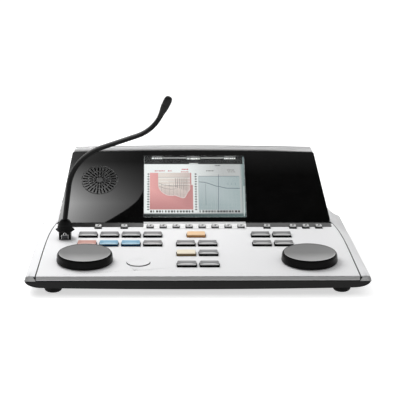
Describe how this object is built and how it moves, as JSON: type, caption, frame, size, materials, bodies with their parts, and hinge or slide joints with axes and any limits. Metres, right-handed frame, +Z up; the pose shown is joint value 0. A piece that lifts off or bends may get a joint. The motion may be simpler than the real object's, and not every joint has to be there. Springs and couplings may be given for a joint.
{
  "type": "audiometer",
  "caption": "Desktop audiometer with a sloping key desk, two large dials, a tilted black screen fascia and a gooseneck talk microphone.",
  "frame": {"origin": "middle of the footprint, on the table", "axes": "+X to the operator's right, +Y to the rear, +Z up"},
  "size_m": [0.365, 0.295, 0.1991],
  "materials": {
    "tub_black": "fine moulded texture",
    "plate_silver": "satin silver-white paint",
    "cheek_silver": "satin silver-white paint",
    "fascia_black": "mirror gloss",
    "rail_metal": "brushed along its length",
    "strip_grey": "satin",
    "legend_white": "satin, with fine printed marks",
    "foot_rubber": "matte",
    "screw_steel": "zinc plated",
    "key_grey": "satin",
    "key_pink": "satin",
    "key_blue": "satin",
    "key_orange": "satin",
    "key_cream": "satin",
    "fkey_grey": "satin",
    "switch_white": "satin",
    "dial_black": "satin top face, polished skirt",
    "rocker_black": "polished",
    "socket_black": "satin",
    "latch_metal": "polished",
    "boot_rubber": "matte",
    "neck_black": "matte black sleeve",
    "capsule_black": "matte black",
    "window_glass": "clear",
    "module_metal": "sheet metal frame",
    "speaker_dark": "black cone in a steel basket",
    "encoder_metal": "nickel plated",
    "board_green": "solder mask"
  },
  "bodies": {
    "console": {"base_tub": "tub_black", "desk_plate": "plate_silver", "left_cheek": "cheek_silver", "right_cheek": "cheek_silver", "display_panel": "fascia_black", "crown_rail": "rail_metal", "rear_housing": "cheek_silver", "key_strip": "strip_grey", "legend_strip": "legend_white", "rubber_feet": "foot_rubber", "case_screws": "screw_steel", "mic_socket": "socket_black", "mic_plug": "boot_rubber", "display_window": "window_glass", "display_module": "module_metal", "loudspeaker": "speaker_dark", "dial_encoders": "encoder_metal", "circuit_boards": "board_green", "rear_sockets": "socket_black"},
    "key_left_a1": {"key_left_a1": "key_grey"},
    "key_left_a2": {"key_left_a2": "key_grey"},
    "key_left_a3": {"key_left_a3": "key_grey"},
    "key_left_a4": {"key_left_a4": "key_grey"},
    "key_left_b1": {"key_left_b1": "key_pink"},
    "key_left_b2": {"key_left_b2": "key_blue"},
    "key_left_b3": {"key_left_b3": "key_blue"},
    "key_left_b4": {"key_left_b4": "key_grey"},
    "key_mid_a1": {"key_mid_a1": "key_orange"},
    "key_mid_b1": {"key_mid_b1": "key_grey"},
    "key_mid_b2": {"key_mid_b2": "key_grey"},
    "key_mid_c1": {"key_mid_c1": "key_cream"},
    "key_mid_c2": {"key_mid_c2": "key_grey"},
    "key_mid_d1": {"key_mid_d1": "key_grey"},
    "key_mid_d2": {"key_mid_d2": "key_grey"},
    "key_right_a1": {"key_right_a1": "key_grey"},
    "key_right_a2": {"key_right_a2": "key_grey"},
    "key_right_b1": {"key_right_b1": "key_grey"},
    "key_right_b2": {"key_right_b2": "key_grey"},
    "fkey_01": {"fkey_01": "fkey_grey"},
    "fkey_02": {"fkey_02": "fkey_grey"},
    "fkey_03": {"fkey_03": "fkey_grey"},
    "fkey_04": {"fkey_04": "fkey_grey"},
    "fkey_05": {"fkey_05": "fkey_grey"},
    "fkey_06": {"fkey_06": "fkey_grey"},
    "fkey_07": {"fkey_07": "fkey_grey"},
    "fkey_08": {"fkey_08": "fkey_grey"},
    "fkey_09": {"fkey_09": "fkey_grey"},
    "fkey_10": {"fkey_10": "fkey_grey"},
    "fkey_11": {"fkey_11": "fkey_grey"},
    "fkey_12": {"fkey_12": "fkey_grey"},
    "fkey_13": {"fkey_13": "fkey_grey"},
    "fkey_14": {"fkey_14": "fkey_grey"},
    "tone_switch": {"tone_switch": "switch_white"},
    "dial_left": {"dial_left": "dial_black"},
    "dial_right": {"dial_right": "dial_black"},
    "mic_latch": {"mic_latch": "latch_metal"},
    "power_switch": {"power_switch": "rocker_black"},
    "neck_lower": {"gooseneck_lower": "neck_black"},
    "neck_upper": {"gooseneck_upper": "neck_black", "mic_capsule": "capsule_black"}
  },
  "joints": [
    {"name": "dial_left_turn", "type": "hinge", "parent": "console", "child": "dial_left", "pos_m": [-0.121, -0.10219, 0.03119], "axis": [0, -0.0958, 0.9954], "continuous": true},
    {"name": "dial_right_turn", "type": "hinge", "parent": "console", "child": "dial_right", "pos_m": [0.121, -0.10219, 0.03119], "axis": [0, -0.0958, 0.9954], "continuous": true},
    {"name": "mic_latch_push", "type": "slide", "parent": "console", "child": "mic_latch", "axis": [0, 0.9954, 0.0958], "range_m": [0, 0.001], "stiffness_N_per_m": 300, "springref_m": -0.001},
    {"name": "power_rock", "type": "hinge", "parent": "console", "child": "power_switch", "pos_m": [0.098, 0.1435, 0.034], "axis": [1, 0, 0], "range_deg": [-12, 0]},
    {"name": "neck_base_bend", "type": "hinge", "parent": "console", "child": "neck_lower", "pos_m": [-0.1463, -0.02817, 0.05539], "axis": [1, 0, 0], "range_deg": [-20, 25]},
    {"name": "neck_upper_bend", "type": "hinge", "parent": "neck_lower", "child": "neck_upper", "pos_m": [-0.08409, -0.04943, 0.14746], "axis": [0, -0.9744, -0.225], "range_deg": [-35, 40]},
    {"name": "tone_switch_press", "type": "slide", "parent": "console", "child": "tone_switch", "axis": [0, 0.0958, -0.9954], "range_m": [0, 0.0012], "stiffness_N_per_m": 300, "springref_m": -0.002},
    {"name": "key_left_a1_press", "type": "slide", "parent": "console", "child": "key_left_a1", "axis": [0, 0.0958, -0.9954], "range_m": [0, 0.0012], "stiffness_N_per_m": 300, "springref_m": -0.002},
    {"name": "key_left_a2_press", "type": "slide", "parent": "console", "child": "key_left_a2", "axis": [0, 0.0958, -0.9954], "range_m": [0, 0.0012], "stiffness_N_per_m": 300, "springref_m": -0.002},
    {"name": "key_left_a3_press", "type": "slide", "parent": "console", "child": "key_left_a3", "axis": [0, 0.0958, -0.9954], "range_m": [0, 0.0012], "stiffness_N_per_m": 300, "springref_m": -0.002},
    {"name": "key_left_a4_press", "type": "slide", "parent": "console", "child": "key_left_a4", "axis": [0, 0.0958, -0.9954], "range_m": [0, 0.0012], "stiffness_N_per_m": 300, "springref_m": -0.002},
    {"name": "key_left_b1_press", "type": "slide", "parent": "console", "child": "key_left_b1", "axis": [0, 0.0958, -0.9954], "range_m": [0, 0.0012], "stiffness_N_per_m": 300, "springref_m": -0.002},
    {"name": "key_left_b2_press", "type": "slide", "parent": "console", "child": "key_left_b2", "axis": [0, 0.0958, -0.9954], "range_m": [0, 0.0012], "stiffness_N_per_m": 300, "springref_m": -0.002},
    {"name": "key_left_b3_press", "type": "slide", "parent": "console", "child": "key_left_b3", "axis": [0, 0.0958, -0.9954], "range_m": [0, 0.0012], "stiffness_N_per_m": 300, "springref_m": -0.002},
    {"name": "key_left_b4_press", "type": "slide", "parent": "console", "child": "key_left_b4", "axis": [0, 0.0958, -0.9954], "range_m": [0, 0.0012], "stiffness_N_per_m": 300, "springref_m": -0.002},
    {"name": "key_mid_a1_press", "type": "slide", "parent": "console", "child": "key_mid_a1", "axis": [0, 0.0958, -0.9954], "range_m": [0, 0.0012], "stiffness_N_per_m": 300, "springref_m": -0.002},
    {"name": "key_mid_b1_press", "type": "slide", "parent": "console", "child": "key_mid_b1", "axis": [0, 0.0958, -0.9954], "range_m": [0, 0.0012], "stiffness_N_per_m": 300, "springref_m": -0.002},
    {"name": "key_mid_b2_press", "type": "slide", "parent": "console", "child": "key_mid_b2", "axis": [0, 0.0958, -0.9954], "range_m": [0, 0.0012], "stiffness_N_per_m": 300, "springref_m": -0.002},
    {"name": "key_mid_c1_press", "type": "slide", "parent": "console", "child": "key_mid_c1", "axis": [0, 0.0958, -0.9954], "range_m": [0, 0.0012], "stiffness_N_per_m": 300, "springref_m": -0.002},
    {"name": "key_mid_c2_press", "type": "slide", "parent": "console", "child": "key_mid_c2", "axis": [0, 0.0958, -0.9954], "range_m": [0, 0.0012], "stiffness_N_per_m": 300, "springref_m": -0.002},
    {"name": "key_mid_d1_press", "type": "slide", "parent": "console", "child": "key_mid_d1", "axis": [0, 0.0958, -0.9954], "range_m": [0, 0.0012], "stiffness_N_per_m": 300, "springref_m": -0.002},
    {"name": "key_mid_d2_press", "type": "slide", "parent": "console", "child": "key_mid_d2", "axis": [0, 0.0958, -0.9954], "range_m": [0, 0.0012], "stiffness_N_per_m": 300, "springref_m": -0.002},
    {"name": "key_right_a1_press", "type": "slide", "parent": "console", "child": "key_right_a1", "axis": [0, 0.0958, -0.9954], "range_m": [0, 0.0012], "stiffness_N_per_m": 300, "springref_m": -0.002},
    {"name": "key_right_a2_press", "type": "slide", "parent": "console", "child": "key_right_a2", "axis": [0, 0.0958, -0.9954], "range_m": [0, 0.0012], "stiffness_N_per_m": 300, "springref_m": -0.002},
    {"name": "key_right_b1_press", "type": "slide", "parent": "console", "child": "key_right_b1", "axis": [0, 0.0958, -0.9954], "range_m": [0, 0.0012], "stiffness_N_per_m": 300, "springref_m": -0.002},
    {"name": "key_right_b2_press", "type": "slide", "parent": "console", "child": "key_right_b2", "axis": [0, 0.0958, -0.9954], "range_m": [0, 0.0012], "stiffness_N_per_m": 300, "springref_m": -0.002},
    {"name": "fkey_01_press", "type": "slide", "parent": "console", "child": "fkey_01", "axis": [0, 0.0958, -0.9954], "range_m": [0, 0.0012], "stiffness_N_per_m": 300, "springref_m": -0.002},
    {"name": "fkey_02_press", "type": "slide", "parent": "console", "child": "fkey_02", "axis": [0, 0.0958, -0.9954], "range_m": [0, 0.0012], "stiffness_N_per_m": 300, "springref_m": -0.002},
    {"name": "fkey_03_press", "type": "slide", "parent": "console", "child": "fkey_03", "axis": [0, 0.0958, -0.9954], "range_m": [0, 0.0012], "stiffness_N_per_m": 300, "springref_m": -0.002},
    {"name": "fkey_04_press", "type": "slide", "parent": "console", "child": "fkey_04", "axis": [0, 0.0958, -0.9954], "range_m": [0, 0.0012], "stiffness_N_per_m": 300, "springref_m": -0.002},
    {"name": "fkey_05_press", "type": "slide", "parent": "console", "child": "fkey_05", "axis": [0, 0.0958, -0.9954], "range_m": [0, 0.0012], "stiffness_N_per_m": 300, "springref_m": -0.002},
    {"name": "fkey_06_press", "type": "slide", "parent": "console", "child": "fkey_06", "axis": [0, 0.0958, -0.9954], "range_m": [0, 0.0012], "stiffness_N_per_m": 300, "springref_m": -0.002},
    {"name": "fkey_07_press", "type": "slide", "parent": "console", "child": "fkey_07", "axis": [0, 0.0958, -0.9954], "range_m": [0, 0.0012], "stiffness_N_per_m": 300, "springref_m": -0.002},
    {"name": "fkey_08_press", "type": "slide", "parent": "console", "child": "fkey_08", "axis": [0, 0.0958, -0.9954], "range_m": [0, 0.0012], "stiffness_N_per_m": 300, "springref_m": -0.002},
    {"name": "fkey_09_press", "type": "slide", "parent": "console", "child": "fkey_09", "axis": [0, 0.0958, -0.9954], "range_m": [0, 0.0012], "stiffness_N_per_m": 300, "springref_m": -0.002},
    {"name": "fkey_10_press", "type": "slide", "parent": "console", "child": "fkey_10", "axis": [0, 0.0958, -0.9954], "range_m": [0, 0.0012], "stiffness_N_per_m": 300, "springref_m": -0.002},
    {"name": "fkey_11_press", "type": "slide", "parent": "console", "child": "fkey_11", "axis": [0, 0.0958, -0.9954], "range_m": [0, 0.0012], "stiffness_N_per_m": 300, "springref_m": -0.002},
    {"name": "fkey_12_press", "type": "slide", "parent": "console", "child": "fkey_12", "axis": [0, 0.0958, -0.9954], "range_m": [0, 0.0012], "stiffness_N_per_m": 300, "springref_m": -0.002},
    {"name": "fkey_13_press", "type": "slide", "parent": "console", "child": "fkey_13", "axis": [0, 0.0958, -0.9954], "range_m": [0, 0.0012], "stiffness_N_per_m": 300, "springref_m": -0.002},
    {"name": "fkey_14_press", "type": "slide", "parent": "console", "child": "fkey_14", "axis": [0, 0.0958, -0.9954], "range_m": [0, 0.0012], "stiffness_N_per_m": 300, "springref_m": -0.002}
  ]
}
